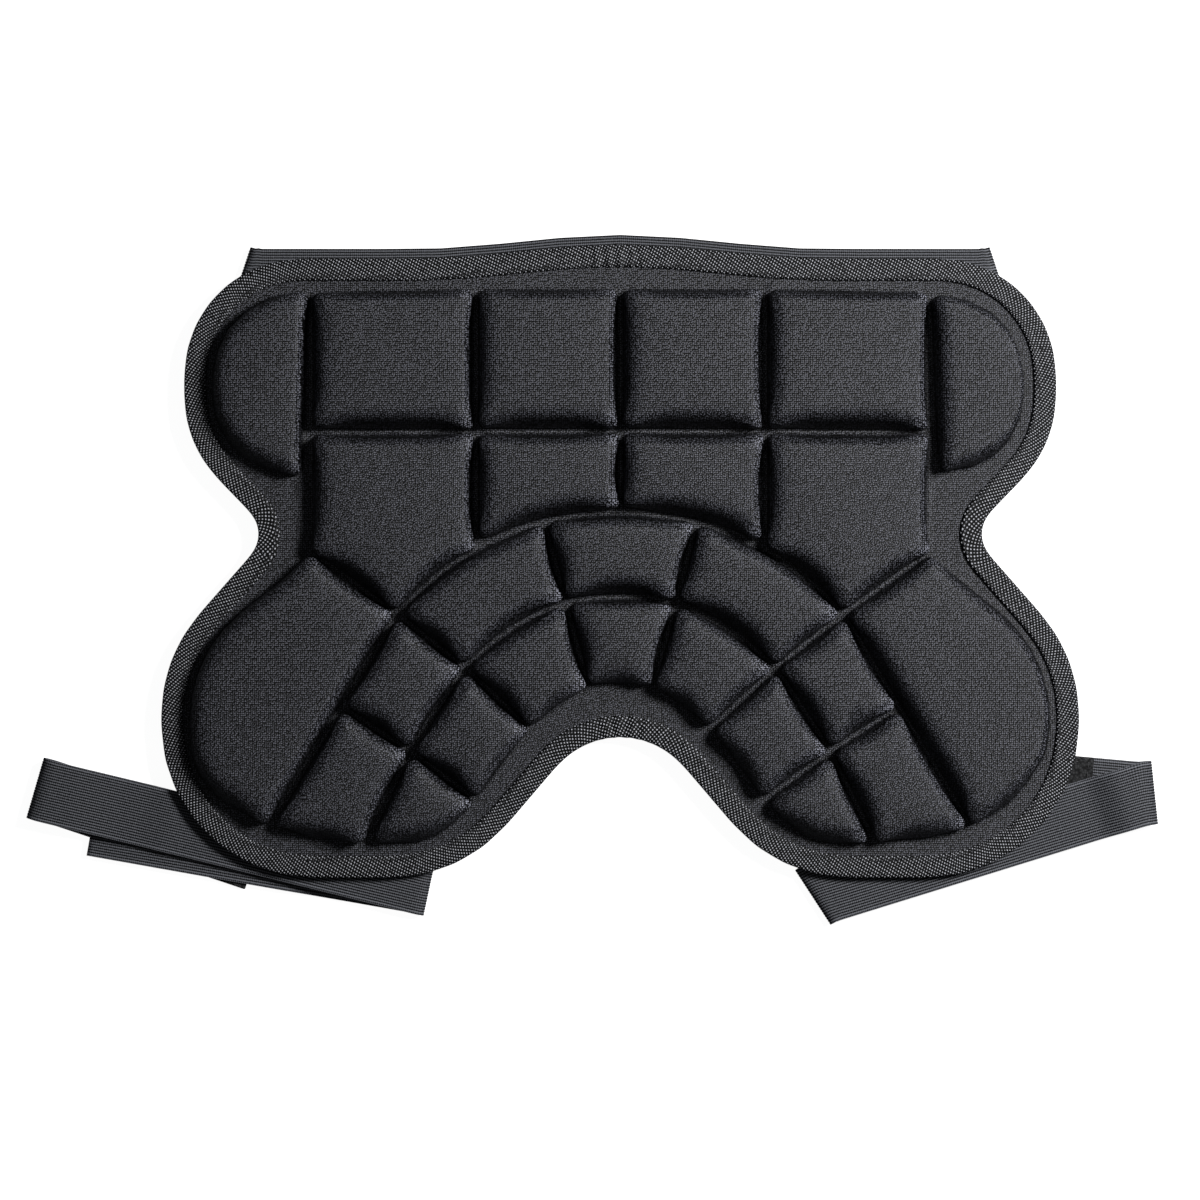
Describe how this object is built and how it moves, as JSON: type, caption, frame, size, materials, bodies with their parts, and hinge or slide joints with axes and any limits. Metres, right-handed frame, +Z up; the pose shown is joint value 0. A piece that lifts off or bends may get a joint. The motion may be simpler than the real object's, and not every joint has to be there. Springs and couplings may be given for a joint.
{
  "type": "hip pad",
  "caption": "Padded hip guard with raised foam cushion blocks on a bound butterfly-shaped flange, an elastic waist belt and elastic leg straps.",
  "frame": {"origin": "on the floor that the straps and belt lie on, under the middle of the whole object's box", "axes": "+X across the hips, towards the right of the pad as seen from its padded side; +Y from the leg lobes to the waist edge; +Z up, out of the cushion blocks"},
  "size_m": [0.4442, 0.2712, 0.0214],
  "materials": {
    "knit_cover": "matte",
    "binding_tape": "matte",
    "ribbed_elastic": "matte",
    "hook_and_loop": "matte"
  },
  "bodies": {
    "root": {"moulded_pad": "knit_cover", "edge_binding": "binding_tape", "waist_belt": "ribbed_elastic", "waist_fastener": "hook_and_loop", "left_leg_strap": "ribbed_elastic", "left_fastener": "hook_and_loop", "right_leg_strap": "ribbed_elastic", "right_fastener": "hook_and_loop"}
  },
  "joints": []
}
